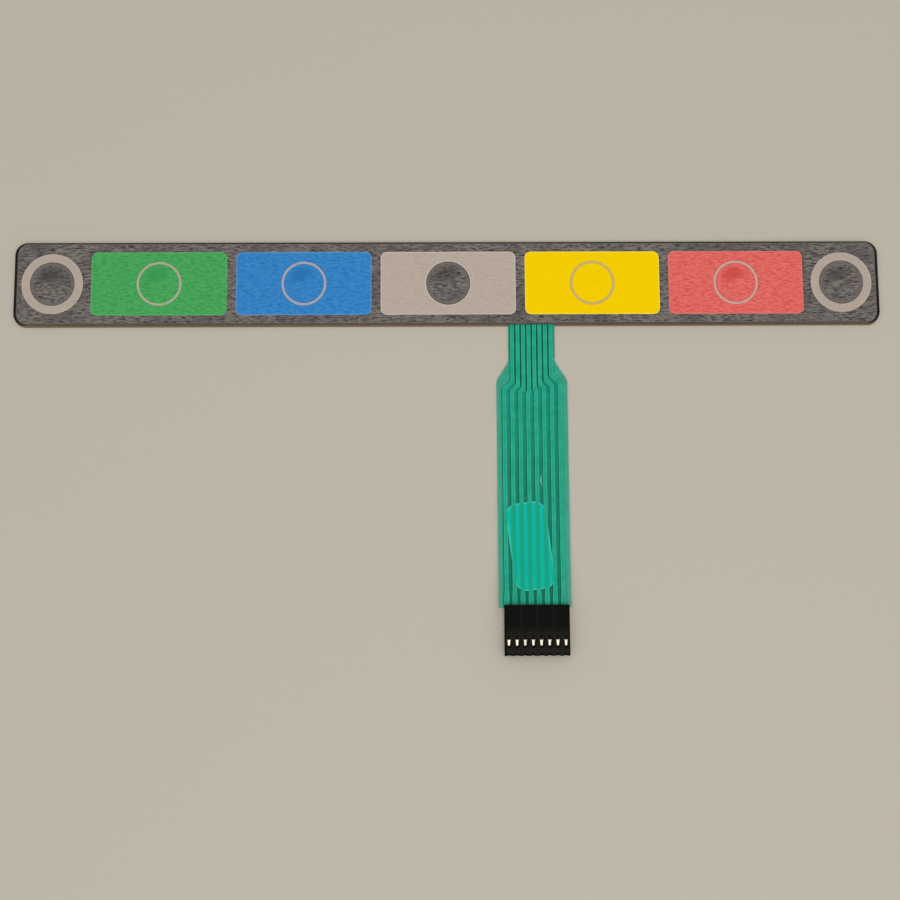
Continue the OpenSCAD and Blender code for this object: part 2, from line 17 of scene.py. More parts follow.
import bmesh
import bpy
import numpy as np
from mathutils.geometry import tessellate_polygon
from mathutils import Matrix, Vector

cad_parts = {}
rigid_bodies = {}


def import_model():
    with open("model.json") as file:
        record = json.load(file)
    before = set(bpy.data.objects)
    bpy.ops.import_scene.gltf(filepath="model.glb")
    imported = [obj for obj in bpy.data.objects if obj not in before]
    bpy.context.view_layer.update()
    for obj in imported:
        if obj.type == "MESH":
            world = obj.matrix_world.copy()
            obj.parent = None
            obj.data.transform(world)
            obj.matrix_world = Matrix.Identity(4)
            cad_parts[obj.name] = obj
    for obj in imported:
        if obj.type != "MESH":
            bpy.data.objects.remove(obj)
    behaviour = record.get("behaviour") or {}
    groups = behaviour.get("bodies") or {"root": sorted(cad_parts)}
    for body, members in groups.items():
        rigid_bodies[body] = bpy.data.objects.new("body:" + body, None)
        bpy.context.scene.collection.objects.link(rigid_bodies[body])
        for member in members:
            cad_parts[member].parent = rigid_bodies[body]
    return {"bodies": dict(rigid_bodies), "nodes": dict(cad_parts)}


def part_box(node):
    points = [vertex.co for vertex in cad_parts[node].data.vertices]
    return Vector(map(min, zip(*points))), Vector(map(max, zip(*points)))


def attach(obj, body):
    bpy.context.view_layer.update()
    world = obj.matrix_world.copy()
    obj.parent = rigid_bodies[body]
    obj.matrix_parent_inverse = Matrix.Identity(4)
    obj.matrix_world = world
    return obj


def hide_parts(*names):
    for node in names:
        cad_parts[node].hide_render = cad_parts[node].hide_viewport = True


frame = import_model()
nodes = frame["nodes"]
body = list(frame["bodies"])[0]
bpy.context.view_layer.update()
mm = 0.001
print("loaded", len(nodes), "nodes on the body", body)

# %% [markdown]
# ## Sizes that everything follows
#
# Places that the part already holds are measured on its nodes: the strip's size, the keys' centres,
# the heights of the layers. Only what can't be measured on a box, such as a corner radius or the width
# of a ring, is written as a number. That way the looks stay in place if the part changes.

# %% Measure the strip, the keys and the layers
def centre_x(node):
    low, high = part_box(node)
    return (low.x + high.x) / 2


strip_low, strip_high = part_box("rear_adhesive")
strip_l = strip_high.x - strip_low.x
strip_w = strip_high.y - strip_low.y
strip_r = 4 * mm
face_t = 0.2 * mm
print_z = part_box("beige_ink")[0].z
face_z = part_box("overlay_film")[0].z + face_t
crown_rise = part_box("overlay_film")[1].z - face_z
domes = ["key_%d_dome" % k for k in range(1, 8)]
key_x = [centre_x(dome) for dome in domes]
left_x, middle_x, right_x = key_x[0], key_x[3], key_x[6]
colour_x = dict(zip(("green", "blue", "yellow", "red"), key_x[1:3] + key_x[4:6]))
print("strip %.1f by %.1f mm, keys at" % (strip_l / mm, strip_w / mm), [round(x / mm, 1) for x in key_x])

# %% [markdown]
# ## The camera
#
# The picture was taken by hand from almost straight above, a little towards the tail's side. The
# camera's place and turn were worked out from the strip's four edges and the tail. An object this flat
# shows any error in the angle at once, as edges that run apart, so the angles are kept to a
# thousandth of a degree.

# %% Place the camera
scene = bpy.context.scene
camera = bpy.data.objects.new("camera", bpy.data.cameras.new("camera"))
scene.collection.objects.link(camera)
camera.data.sensor_width = 36
camera.data.lens = 44
camera.data.clip_start = 0.01
camera.location = (-3.63 * mm, -91.62 * mm, 348.77 * mm)
camera.rotation_euler = [math.radians(a) for a in (6.131, -0.610, -0.318)]
scene.camera = camera
print("camera %.0f mm above the table" % (camera.location.z / mm))

# %% [markdown]
# ## Colours as they look
#
# Blender's shaders take linear light, while a colour here is written in the screen's own steps of 0 to 255. A
# small helper turns one into the other, so every finish below can be written as the colour that it should
# show.

# %% Turn a screen colour into linear light
def paint(red, green, blue):
    out = []
    for level in (red, green, blue):
        c = level / 255
        out.append(c / 12.92 if c <= 0.04045 else ((c + 0.055) / 1.055) ** 2.4)
    return (*out, 1)


print("mid grey is %.3f in linear light" % paint(128, 128, 128)[0])

# %% [markdown]
# ## Floor and light
#
# The keypad lies flat on a plain pale table, which is a hair lower than its paper, so that the two don't
# mix. Most of the light is an even glow, at three quarters of the strength at which a colour renders as
# written. One small soft lamp from the front adds the thin shadow behind the strip. It stands where the
# latches of the contacts, which tilt by 8 degrees, mirror it towards the camera, because that is the only
# way in which dull bronze can look white.

# %% Build the floor, the glow and the lamp
def set_shader(finish, label, value):
    """Sets a colour or number that is the same all over the surface."""
    finish.node_tree.nodes["Principled BSDF"].inputs[label].default_value = value


floor_mesh = bpy.data.meshes.new("floor")
half = 3
floor_mesh.from_pydata([(-half, -half, 0), (half, -half, 0), (half, half, 0), (-half, half, 0)],
                       [], [(0, 1, 2, 3)])
floor = bpy.data.objects.new("floor", floor_mesh)
floor.location.z = -0.03 * mm
scene.collection.objects.link(floor)

floor_finish = bpy.data.materials.new("Pale table")
floor_finish.use_nodes = True
set_shader(floor_finish, "Base Color", paint(197, 189, 174))
set_shader(floor_finish, "Roughness", 0.8)
set_shader(floor_finish, "Specular IOR Level", 0.2)
floor_mesh.materials.append(floor_finish)

world = bpy.data.worlds.new("glow")
scene.world = world
world.use_nodes = True
background = world.node_tree.nodes["Background"]
background.inputs["Color"].default_value = (1, 1, 1, 1)
background.inputs["Strength"].default_value = 0.76

lamp_d = 0.36
lamp_strength = 3.2
lamp = bpy.data.lights.new("front_lamp", "AREA")
lamp.shape = "DISK"
lamp.size = lamp_d
lamp.energy = math.pi * math.pi * lamp_d * lamp_d / 4 * lamp_strength
holder = bpy.data.objects.new("front_lamp", lamp)
holder.location = (0.088, -0.38, 0.7)
holder.rotation_euler = (-holder.location).to_track_quat("-Z", "Y").to_euler()
scene.collection.objects.link(holder)
scene.view_settings.view_transform = "Standard"
print("the lamp gives %.2f W" % lamp.energy)

# %% [markdown]
# ## Closed sheets with holes
#
# Each colour of the print is a sheet 0.24 mm thick with openings cut in it. It could be a curve with
# an extrusion, but then the caps and the walls don't share their points. Here an outline and its holes
# are filled by the tessellator, the fill is used twice, for the top and the underside, and walls join
# them, so that every sheet is a closed solid.

# %% Make outlines and closed sheets
ring_steps = 128
corner_steps = 16


def circle(x, radius):
    return [(x + radius * math.cos(2 * math.pi * i / ring_steps),
             radius * math.sin(2 * math.pi * i / ring_steps)) for i in range(ring_steps)]


def rounded(x, width, height, radius, inset_x=0, inset_y=None):
    inset_y = inset_x if inset_y is None else inset_y
    points = []
    for corner, (sx, sy) in enumerate(((1, 1), (-1, 1), (-1, -1), (1, -1))):
        for i in range(corner_steps + 1):
            a = math.pi / 2 * (corner + i / corner_steps)
            points.append((x + sx * (width / 2 - radius) + (radius - inset_x) * math.cos(a),
                           sy * (height / 2 - radius) + (radius - inset_y) * math.sin(a)))
    return points


def add_sheet(bm, outline, holes, slot, low=print_z, high=face_z):
    loops = [outline] + holes
    flat = [point for loop in loops for point in loop]
    bottom = [bm.verts.new((x, y, low)) for x, y in flat]
    top = [bm.verts.new((x, y, high)) for x, y in flat]
    faces = []
    for a, b, c in tessellate_polygon([[(x, y, 0) for x, y in loop] for loop in loops]):
        faces.append(bm.faces.new((top[a], top[b], top[c])))
        faces.append(bm.faces.new((bottom[c], bottom[b], bottom[a])))
    start = 0
    for loop in loops:
        for i in range(len(loop)):
            a, b = start + i, start + (i + 1) % len(loop)
            faces.append(bm.faces.new((bottom[a], bottom[b], top[b], top[a])))
        start += len(loop)
    for face in faces:
        face.material_index = slot


print("the print is %.2f mm thick" % ((face_z - print_z) / mm))

# %% [markdown]
# ## The raised place over a snap dome
#
# The face film is pressed into a shallow bump over each dome, 0.26 mm high. Its section is half a
# cosine wave, level at the middle and at the rim, which is the shape that a film takes when it is
# formed with heat over a pin. The section is turned about the key's centre, and the underside follows
# the top, because the steel dome sits in that hollow.

# %% Turn a crowned disc
crown_r = 6.2 * mm


def crown(radius):
    return crown_rise * (1 + math.cos(math.pi * radius / crown_r)) / 2 if radius < crown_r else 0


def add_crowned_disc(bm, x, zones, steps=14):
    """Zones are pairs of an outer radius and a slot, from the middle outwards."""
    radius = zones[-1][0]
    radii = sorted({crown_r * i / steps for i in range(steps + 1)} | {r for r, slot in zones})
    radii = [r for r in radii if r <= radius]
    slots = [next(slot for r, slot in zones if outer <= r) for outer in radii[1:]]
    layers = []
    for level in (face_z, print_z):
        rows = [[bm.verts.new((x, 0, level + crown(0)))]]
        rows += [[bm.verts.new((*p, level + crown(r))) for p in circle(x, r)] for r in radii[1:]]
        layers.append(rows)
    for i in range(ring_steps):
        j = (i + 1) % ring_steps
        for rows in layers:
            bm.faces.new((rows[0][0], rows[1][i], rows[1][j])).material_index = slots[0]
            for inner, outer, slot in zip(rows[1:], rows[2:], slots[1:]):
                bm.faces.new((inner[i], outer[i], outer[j], inner[j])).material_index = slot
        top, low = layers[0][-1], layers[1][-1]
        bm.faces.new((top[i], top[j], low[j], low[i])).material_index = slots[-1]


print("crowns rise by %.2f mm" % (crown(0) / mm))

# %% [markdown]
# ## From a mesh to a piece
#
# Every piece goes through the same steps: normals that point outwards, smooth shading with sharp edges where
# the surface turns by more than 35 degrees, its finishes, the body that it moves with, and the nodes that it
# stands for, which are hidden. A node that is shown as it was packed only gets its finish.

# %% Finish a piece
def finish_piece(name, bm, finishes, stands_for):
    bmesh.ops.recalc_face_normals(bm, faces=bm.faces)
    mesh = bpy.data.meshes.new(name)
    bm.to_mesh(mesh)
    bm.free()
    mesh.shade_smooth()
    mesh.set_sharp_from_angle(angle=math.radians(35))
    for finish in finishes:
        mesh.materials.append(finish)
    piece = bpy.data.objects.new(name, mesh)
    scene.collection.objects.link(piece)
    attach(piece, body)
    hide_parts(*stands_for)
    print(name, "has", len(mesh.polygons), "faces")


def finish_nodes(finish, *names):
    for name in names:
        nodes[name].data.materials.clear()
        nodes[name].data.materials.append(finish)
        print(name, "takes", finish.name)


# %% [markdown]
# ## Helpers for node groups
#
# A node group is a small tree of nodes with named inputs and outputs. It could be drawn by hand in the
# shader editor. In code, each kind of node gets a helper of a few lines, and the formula behind a mask
# can be read from the calls.

# %% Make a group and feed a node
def new_group(name, inputs, outputs):
    """Hands back the group, the sockets of what it takes, and the node that gathers what it gives."""
    group = bpy.data.node_groups.new(name, "ShaderNodeTree")
    for label, value in inputs.items():
        socket = group.interface.new_socket(label, in_out="INPUT", socket_type="NodeSocketFloat")
        socket.default_value = value
    for label in outputs:
        group.interface.new_socket(label, in_out="OUTPUT", socket_type="NodeSocketFloat")
    print("group %s takes %s and gives %s" % (name, list(inputs), outputs))
    return group, group.nodes.new("NodeGroupInput").outputs, group.nodes.new("NodeGroupOutput")


def feed(tree, node, values):
    """Gives each socket, by its name or number, another node's output or a plain value."""
    for label, value in values.items():
        if isinstance(value, bpy.types.NodeSocket):
            tree.links.new(value, node.inputs[label])
        else:
            node.inputs[label].default_value = value


# %% [markdown]
# Each of these helpers adds one step, and hands back the socket that the next step is fed from. The last
# one is for masks that grow from nothing to full over some length.

# %% Add the steps of a formula
def add_math(tree, operation, first, second=0):
    node = tree.nodes.new("ShaderNodeMath")
    node.operation = operation
    feed(tree, node, {0: first, 1: second})
    return node.outputs[0]


def add_noise(tree, vector, scale, detail, roughness=0.5, distortion=0):
    node = tree.nodes.new("ShaderNodeTexNoise")
    feed(tree, node, {"Vector": vector, "Scale": scale, "Detail": detail, "Roughness": roughness,
                      "Distortion": distortion})
    return node.outputs["Fac"]


def add_range(tree, value, low, high, out_low=0, out_high=1):
    node = tree.nodes.new("ShaderNodeMapRange")
    feed(tree, node, {"Value": value, "From Min": low, "From Max": high, "To Min": out_low,
                      "To Max": out_high})
    return node.outputs["Result"]


def add_place(tree):
    """The place of a point on the part, in metres."""
    return tree.nodes.new("ShaderNodeTexCoord").outputs["Object"]


def add_axes(tree, vector):
    """Takes a place or a direction apart into X, Y and Z."""
    split = tree.nodes.new("ShaderNodeSeparateXYZ")
    tree.links.new(vector, split.inputs[0])
    return split.outputs


def add_share(tree, amount, full, end=1):
    """How far an amount has come from 0 to full, or to minus full where end is -1."""
    return add_range(tree, add_math(tree, "DIVIDE", amount, full), 0, end)


# %% [markdown]
# ## Grain that several finishes share
#
# The face film is textured, so that it looks matt. Light catches it in short wavy streaks along the strip,
# about 2 mm long and 0.4 mm high. A scanned texture could show that, but it would repeat, and noise that is
# stretched along one axis looks the same at any size. The streaks are made once, in a node group that gives
# out masks, and each ink mixes its own two shades with them. The group also gives slow clouds, which are a
# painted reflection: uneven light from the room, painted into the ink as darker patches.
#
# A second group gives soft blotches, for the paper, the glue, the pad, the coat and the plastic.

# %% Build the grain and the blotches
grain, take, give = new_group("Film grain", {"Streak length": 2 * mm, "Streak height": 0.4 * mm},
                              ["Streaks", "Flecks", "Relief", "Clouds"])
place = add_place(grain)
axes = add_axes(grain, place)
stretched = grain.nodes.new("ShaderNodeCombineXYZ")
feed(grain, stretched, {"X": add_math(grain, "DIVIDE", axes["X"], take["Streak length"]),
                        "Y": add_math(grain, "DIVIDE", axes["Y"], take["Streak height"])})
broad = add_noise(grain, stretched.outputs[0], 0.9, 2, roughness=0.6, distortion=0.7)
fine = add_noise(grain, stretched.outputs[0], 2.3, 2, roughness=0.6, distortion=0.3)
slow = add_noise(grain, place, 1 / (9 * mm), 2, roughness=0.6, distortion=0.4)
streaks = add_range(grain, broad, 0.36, 0.56)
flecks = add_range(grain, fine, 0.5, 0.66)
feed(grain, give, {"Streaks": streaks, "Flecks": flecks, "Relief": add_math(grain, "ADD", streaks, flecks),
                   "Clouds": add_range(grain, slow, 0.42, 0.62)})

blotch, take, give = new_group("Blotches", {"Size": 4 * mm}, ["Blotches", "Grit"])
place = add_place(blotch)
wide = add_noise(blotch, place, add_math(blotch, "DIVIDE", 1, take["Size"]), 3)
tiny = add_noise(blotch, place, add_math(blotch, "DIVIDE", 14, take["Size"]), 2)
feed(blotch, give, {"Blotches": add_range(blotch, wide, 0.35, 0.65),
                    "Grit": add_range(blotch, tiny, 0.3, 0.7)})

# %% [markdown]
# ## A finish made of two shades
#
# Nearly all finishes here are one Principled shader whose colour runs between two shades, by a mask
# from one of the groups. The same mask also moves the roughness, and a second one drives the bump. One
# helper makes them, another lays a colour over a finish where a mask says so, and each later cell only
# says how its own finish differs. The reflection is kept weak, since little light falls on a keypad
# from straight above.

# %% Mix two shades into a finish
def mix_over(tree, under, factor, over):
    mix = tree.nodes.new("ShaderNodeMix")
    mix.data_type = "RGBA"
    feed(tree, mix, {"Factor": factor, "A": under, "B": over})
    return mix.outputs["Result"]


def add_group(tree, group, inputs):
    node = tree.nodes.new("ShaderNodeGroup")
    node.node_tree = group
    feed(tree, node, inputs)
    return node.outputs


def two_shades(name, group, inputs, mask, dark, light, roughness, depth, relief, second=None, gloss=0.12):
    """The second mask, if any, is its name, its strength and its shade."""
    finish = bpy.data.materials.new(name)
    finish.use_nodes = True
    set_shader(finish, "Specular IOR Level", gloss)
    tree = finish.node_tree
    shader = tree.nodes["Principled BSDF"]
    masks = add_group(tree, group, inputs)
    colour = mix_over(tree, paint(*dark), masks[mask], paint(*light))
    if second:
        label, strength, shade = second
        colour = mix_over(tree, colour, add_math(tree, "MULTIPLY", masks[label], strength), paint(*shade))
    bump = tree.nodes.new("ShaderNodeBump")
    feed(tree, bump, {"Distance": depth, "Strength": 0.5, "Height": masks[relief]})
    feed(tree, shader, {"Base Color": colour, "Roughness": add_range(tree, masks[mask], 0, 1, *roughness),
                        "Normal": bump.outputs["Normal"]})
    return finish


def add_mask(finish, group, inputs, mask, shade, strength=1):
    tree = finish.node_tree
    shader = tree.nodes["Principled BSDF"]
    colour = shader.inputs["Base Color"].links[0].from_socket
    share = add_math(tree, "MULTIPLY", add_group(tree, group, inputs)[mask], strength)
    tree.links.new(mix_over(tree, colour, share, paint(*shade)), shader.inputs["Base Color"])


# %% [markdown]
# ## The inks
#
# Six inks are printed on the back of the face film. What the eye sees is the ink through the film's
# texture: charcoal shows strong streaks, the green, blue and red weaker ones, and the beige and yellow
# almost none, because a light ink hides the reflections. The streaks of the colours are shorter than
# those of the charcoal.

# %% Mix the inks
def film_ink(name, dark, light, length=2.2 * mm, height=0.42 * mm, depth=0.012 * mm, fleck=0.0):
    sizes = {"Streak length": length, "Streak height": height}
    return two_shades(name, grain, sizes, "Streaks", dark, light, (0.42, 0.6), depth, "Relief",
                      ("Flecks", fleck, dark) if fleck else None)


def light_ink(name, dark, light):
    return film_ink(name, dark, light, 2 * mm, 0.6 * mm, 0.002 * mm)


streak = {"Streak length": 1.9 * mm, "Streak height": 0.4 * mm}
charcoal = film_ink("Charcoal ink", (50, 48, 51), (136, 128, 121), *streak.values(), fleck=0.45)
# The slow clouds are a painted reflection, laid over the charcoal as darker patches.
add_mask(charcoal, grain, streak, "Clouds", (72, 67, 70), 0.45)
beige = light_ink("Beige ink", (184, 169, 154), (192, 178, 163))
short = {"length": 1.6 * mm, "height": 0.36 * mm, "fleck": 0.2}
green = film_ink("Green ink", (50, 152, 70), (80, 176, 98), **short)
blue = film_ink("Blue ink", (34, 116, 186), (60, 142, 208), **short)
red = film_ink("Red ink", (218, 80, 76), (238, 118, 108), **short)
yellow = film_ink("Yellow ink", (255, 209, 0), (255, 216, 0), 2 * mm, 0.8 * mm, 0.002 * mm)
set_shader(yellow, "Specular IOR Level", 0.02)
# The rolled rim is painted near-black as painted shade where it curves down. On the tail's side it is lighter
# and browner, as painted light.
shaded_rim_finish = film_ink("Rolled edge of the face film in painted shade", (14, 12, 14), (26, 24, 26), 3 * mm, 0.5 * mm)
lit_edge = film_ink("Rolled edge towards the tail in painted light", (74, 66, 56), (90, 80, 68), 3 * mm, 0.5 * mm)
plain_charcoal = film_ink("Charcoal round a dome", (94, 88, 87), (112, 105, 101), 1 * mm, 0.5 * mm,
                          0.004 * mm)
dark_line = film_ink("Line where charcoal and beige overlap", (70, 60, 52), (80, 69, 59), depth=0.004 * mm)
pale_line = film_ink("Foot of a raised place", (117, 112, 108), (128, 122, 117), depth=0.004 * mm)
print(len(bpy.data.materials), "materials so far")

# %% [markdown]
# ## The far slope of a raised place
#
# The film over each dome rises in a low crown. Flat film carries a pale veil from the light of the
# room, and the far slope of a crown turns out of it, so the ink looks deeper and plainer there. A soft
# studio light can't show that on so low a crown. A brighter lamp would, but it would bleach the inks.
# So a node group finds the slopes that lean a given way, and the deeper shade is mixed into the ink.
# Steep places, such as the side walls of a sheet, are no part of it.

# %% Deepen the inks on the far slopes
slope, take, give = new_group("Far slope", {"Lean X": 0, "Lean Y": 1, "Least": 0.02, "Most": 0.06},
                              ["Far slope"])
axes = add_axes(slope, slope.nodes.new("ShaderNodeTexCoord").outputs["Normal"])
lean_x = add_math(slope, "MULTIPLY", axes["X"], take["Lean X"])
lean_y = add_math(slope, "MULTIPLY", axes["Y"], take["Lean Y"])
past = add_math(slope, "SUBTRACT", add_math(slope, "ADD", lean_x, lean_y), take["Least"])
span = add_math(slope, "SUBTRACT", take["Most"], take["Least"])
share = add_share(slope, past, span)
gentle = add_range(slope, axes["Z"], 0.97, 0.99)
feed(slope, give, {"Far slope": add_math(slope, "MULTIPLY", share, gentle)})

far_slope = {"Lean X": -0.3, "Lean Y": 0.95, "Least": 0.01, "Most": 0.055}
for ink, deeper in ((charcoal, (62, 61, 60)), (green, (45, 154, 83)), (blue, (22, 110, 177)),
                    (red, (206, 62, 60))):
    add_mask(ink, slope, far_slope, "Far slope", deeper, 0.65)

# %% [markdown]
# ## The charcoal field
#
# The charcoal covers the whole face but for the fields and the broad rings at both ends. At the outside, the
# die that cuts the strip rolls the film over a little. That narrow band is painted as a dark line of painted
# shade where it curves down. It is wider at the two ends, and lighter and browner on the side of the tail, as
# painted light. A bevel would be as wide at the ends as at the sides, so the rim is a loop of its own, a
# rounded section swept round the outline.

# %% Set the sizes and shape the rolled rim
field_low, field_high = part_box("green_ink")
field_w = field_high.x - field_low.x
field_h = field_high.y - field_low.y
field_r = 2 * mm
disc_r = 7.15 * mm
broad_r = 9.85 * mm
rim_end_w = 0.9 * mm
rim_side_w = 0.4 * mm
rim_glow_w = 0.3 * mm
rim_drop = 0.13 * mm
streaky_r = 6 * mm
foot_r = 6.4 * mm
foot_w = 0.16 * mm
overlap_w = 0.15 * mm
charcoal_finishes = [charcoal, shaded_rim_finish, plain_charcoal, dark_line, pale_line, lit_edge]
streaked, rim, unstreaked, overlap, foot, lit_rim_by_tail = range(6)


def strip_outline(inset_x=0, inset_y=None):
    return rounded(0, strip_l, strip_w, strip_r, inset_x, inset_y)


def add_rim(bm, steps=6):
    edge = strip_outline()
    section = []
    for i in range(steps + 1):
        a = math.pi / 2 * i / steps
        section.append((1 - math.sin(a), face_z - rim_drop * (1 - math.cos(a))))
    section += [(0, print_z), (1, print_z)]
    rows = []
    for share, z in section:
        outline = strip_outline(share * rim_end_w, share * rim_side_w)
        rows.append([bm.verts.new((x, y, z)) for x, y in outline])
    for row, following in zip(rows, rows[1:] + rows[:1]):
        for i in range(len(row)):
            j = (i + 1) % len(row)
            face = bm.faces.new((row[i], following[i], following[j], row[j]))
            # The straight edge on the tail's side takes the painted light. The rest of the rim takes the
            # painted shade.
            straight = abs(edge[i][0] - edge[j][0]) > strip_l / 2
            face.material_index = lit_rim_by_tail if straight and edge[i][1] < 0 else rim


print("a field is %.1f by %.1f mm" % (field_w / mm, field_h / mm))

# %% [markdown]
# Over a dome the film is stretched and shows its streaks most. Outside the dome it is plain, the foot
# of the raised place catches the light as a thin pale line, and at the border, where two inks overlap,
# there is a thin dark one. Just inside the rolled rim the film also catches a little more light.

# %% Build the charcoal field
bm = bmesh.new()
openings = [rounded(x, field_w, field_h, field_r) for x in key_x[1:6]]
openings += [circle(x, broad_r) for x in (left_x, right_x)]
by_rim = strip_outline(rim_end_w, rim_side_w)
past_glow = strip_outline(rim_end_w + rim_glow_w, rim_side_w + rim_glow_w)
add_sheet(bm, by_rim, [past_glow], unstreaked)
add_sheet(bm, past_glow, openings, streaked)
zones = [(streaky_r, streaked), (foot_r, unstreaked), (foot_r + foot_w, foot),
         (disc_r - overlap_w, unstreaked), (disc_r, overlap)]
for x in (left_x, middle_x, right_x):
    add_crowned_disc(bm, x, zones)
add_rim(bm)
finish_piece("charcoal_field", bm, charcoal_finishes, ["charcoal_ink", "overlay_film"])

# %% [markdown]
# ## The beige field and the rings
#
# Beige is printed last, over everything, so it shows wherever the other inks leave an opening: in the
# middle field, in the broad rings of the end keys and in the thin rings of the four coloured keys. At
# the border of a field the inks thin out, and the beige looks a little lighter there. That border is a
# band of its own, so that it stays crisp from close by. The broad rings, at the ends of the strip, are
# a shade darker than the field. The thin rings are so narrow that each takes a tint from the ink on
# both sides of it, which bleeds in under the film.

# %% Build the beige field and the rings
ring_in = 6.45 * mm
ring_out = 7.25 * mm
border_w = 0.28 * mm
pale_beige = light_ink("Beige at a border", (204, 191, 177), (212, 200, 187))
soft_beige = film_ink("Beige round a broad ring", (188, 175, 161), (196, 183, 169), depth=0.002 * mm)
ring_beige = light_ink("Beige of a broad ring", (178, 163, 150), (186, 172, 158))
beige_finishes = [beige, pale_beige, soft_beige, ring_beige]
field, border, broad_border, broad_ring = range(4)


def field_outlines(x):
    return rounded(x, field_w, field_h, field_r), rounded(x, field_w, field_h, field_r, border_w)


bm = bmesh.new()
whole, inside = field_outlines(middle_x)
around_disc = circle(middle_x, disc_r + border_w)
add_sheet(bm, whole, [inside], border)
add_sheet(bm, inside, [around_disc], field)
add_sheet(bm, around_disc, [circle(middle_x, disc_r)], border)
for x in (left_x, right_x):
    add_sheet(bm, circle(x, broad_r), [circle(x, broad_r - border_w)], broad_border)
    add_sheet(bm, circle(x, broad_r - border_w), [circle(x, disc_r)], broad_ring)
ring_tints = {"green": (166, 174, 144), "blue": (166, 167, 180), "yellow": (206, 178, 104),
              "red": (206, 162, 146)}
for colour, tint in ring_tints.items():
    x = colour_x[colour]
    add_sheet(bm, circle(x, ring_out), [circle(x, ring_in)], len(beige_finishes))
    paler = tuple(min(255, level + 8) for level in tint)
    beige_finishes.append(light_ink("Beige ring on " + colour, tint, paler))
finish_piece("beige_field", bm, beige_finishes, ["beige_ink"])

# %% [markdown]
# ## The four coloured fields
#
# Each is a rounded rectangle with a thin ring of beige round its key, and the crowned disc inside the
# ring. Where the colour and the beige overlap at the ring, both show as a fine grey-brown line. The
# same function makes all four, with three finishes each: the ink, its lighter border and that line.

# %% Build the coloured fields
ring_line_w = 0.1 * mm


def coloured_field(colour, ink, border_shade, line_shade):
    name, node = colour + "_field", colour + "_ink"
    line = film_ink(name + " overlap line", line_shade, line_shade, depth=0.004 * mm)
    pale = film_ink(name + " border", border_shade, border_shade, depth=0.004 * mm)
    field, border, ring_line = range(3)
    bm = bmesh.new()
    x = colour_x[colour]
    whole, inside = field_outlines(x)
    add_sheet(bm, whole, [inside], border)
    add_sheet(bm, inside, [circle(x, ring_out + ring_line_w)], field)
    add_sheet(bm, circle(x, ring_out + ring_line_w), [circle(x, ring_out)], ring_line)
    add_crowned_disc(bm, x, [(ring_in - ring_line_w, field), (ring_in, ring_line)])
    finish_piece(name, bm, [ink, pale, line], [node])


coloured_field("green", green, (88, 184, 104), (88, 118, 72))
coloured_field("blue", blue, (84, 152, 216), (72, 92, 122))
coloured_field("yellow", yellow, (255, 226, 74), (214, 178, 50))
coloured_field("red", red, (238, 122, 112), (142, 88, 76))

# %% [markdown]
# ## The sheets under the face
#
# The inner sheets only show as thin lines along the strip's edge, and the paper shows as the whole underside.
# At their cut edges all sheets are painted darker, as painted shade from the strip's rim. So is the narrow
# lip of paper that stands out at the edge, as painted shade under the strip above it. One group finds the
# places that face sideways, and those that face up.

# %% Build the group that finds edges
cut, take, give = new_group("Cut edge", {"Softness": 0.2}, ["Edge", "Upper face"])
upward = add_axes(cut, cut.nodes.new("ShaderNodeNewGeometry").outputs["Normal"])["Z"]
half_way = 0.7
steep = add_math(cut, "SUBTRACT", half_way, add_math(cut, "ABSOLUTE", upward))
level = add_math(cut, "SUBTRACT", upward, half_way)
feed(cut, give, {"Edge": add_share(cut, steep, take["Softness"]),
                 "Upper face": add_share(cut, level, take["Softness"])})
crisp = {"Softness": 0.2}

# %% [markdown]
# Kraft paper is tan with a faint cloudiness from its fibres. The glue is a clear acrylic. The domes are
# sprung steel, hidden under the film, and still get a finish of their own, because the part can be
# shown with its face taken off.

# %% Finish the paper, the glue, the spacer and the domes
def blotched(name, size, dark, light, roughness, depth, mask="Blotches", **more):
    return two_shades(name, blotch, {"Size": size}, mask, dark, light, roughness, depth, "Grit", **more)


kraft = blotched("Kraft paper", 5 * mm, (158, 132, 86), (178, 152, 104), (0.75, 0.9), 0.01 * mm,
                 second=("Grit", 0.3, (140, 116, 76)))
glue = blotched("Clear acrylic glue", 3 * mm, (196, 193, 178), (214, 211, 198), (0.25, 0.4), 0.005 * mm,
                gloss=0.4)
white_film = blotched("White spacer film", 6 * mm, (226, 223, 214), (236, 234, 226), (0.45, 0.55),
                      0.003 * mm)
# Cut edges are painted darker, as painted shade from the strip's rim.
for finish, edge_shade in ((kraft, (116, 98, 74)), (glue, (92, 80, 64)), (white_film, (104, 92, 76))):
    add_mask(finish, cut, crisp, "Edge", edge_shade)
# The paper's lip that faces up is painted darker, as painted shade under the strip.
add_mask(kraft, cut, crisp, "Upper face", (134, 113, 88))
steel = two_shades("Sprung steel", grain, {"Streak length": 3 * mm, "Streak height": 0.05 * mm}, "Streaks",
                   (186, 187, 190), (214, 215, 218), (0.22, 0.34), 0.002 * mm, "Relief")
set_shader(steel, "Metallic", 1)
finish_nodes(kraft, "release_liner")
finish_nodes(glue, "rear_adhesive", "spacer_adhesive", "overlay_adhesive")
finish_nodes(white_film, "dome_retainer")
finish_nodes(steel, *domes)

# %% [markdown]
# ## The clear film, the silver and the pad
#
# The circuit film is clear polyester. Its base is nearly transparent, so it is given a low alpha
# instead of glass, which keeps it light to render and lets the pad show through. The printed silver is
# a dull grey, seen from below, and the pad is bright blue-green under the tail.

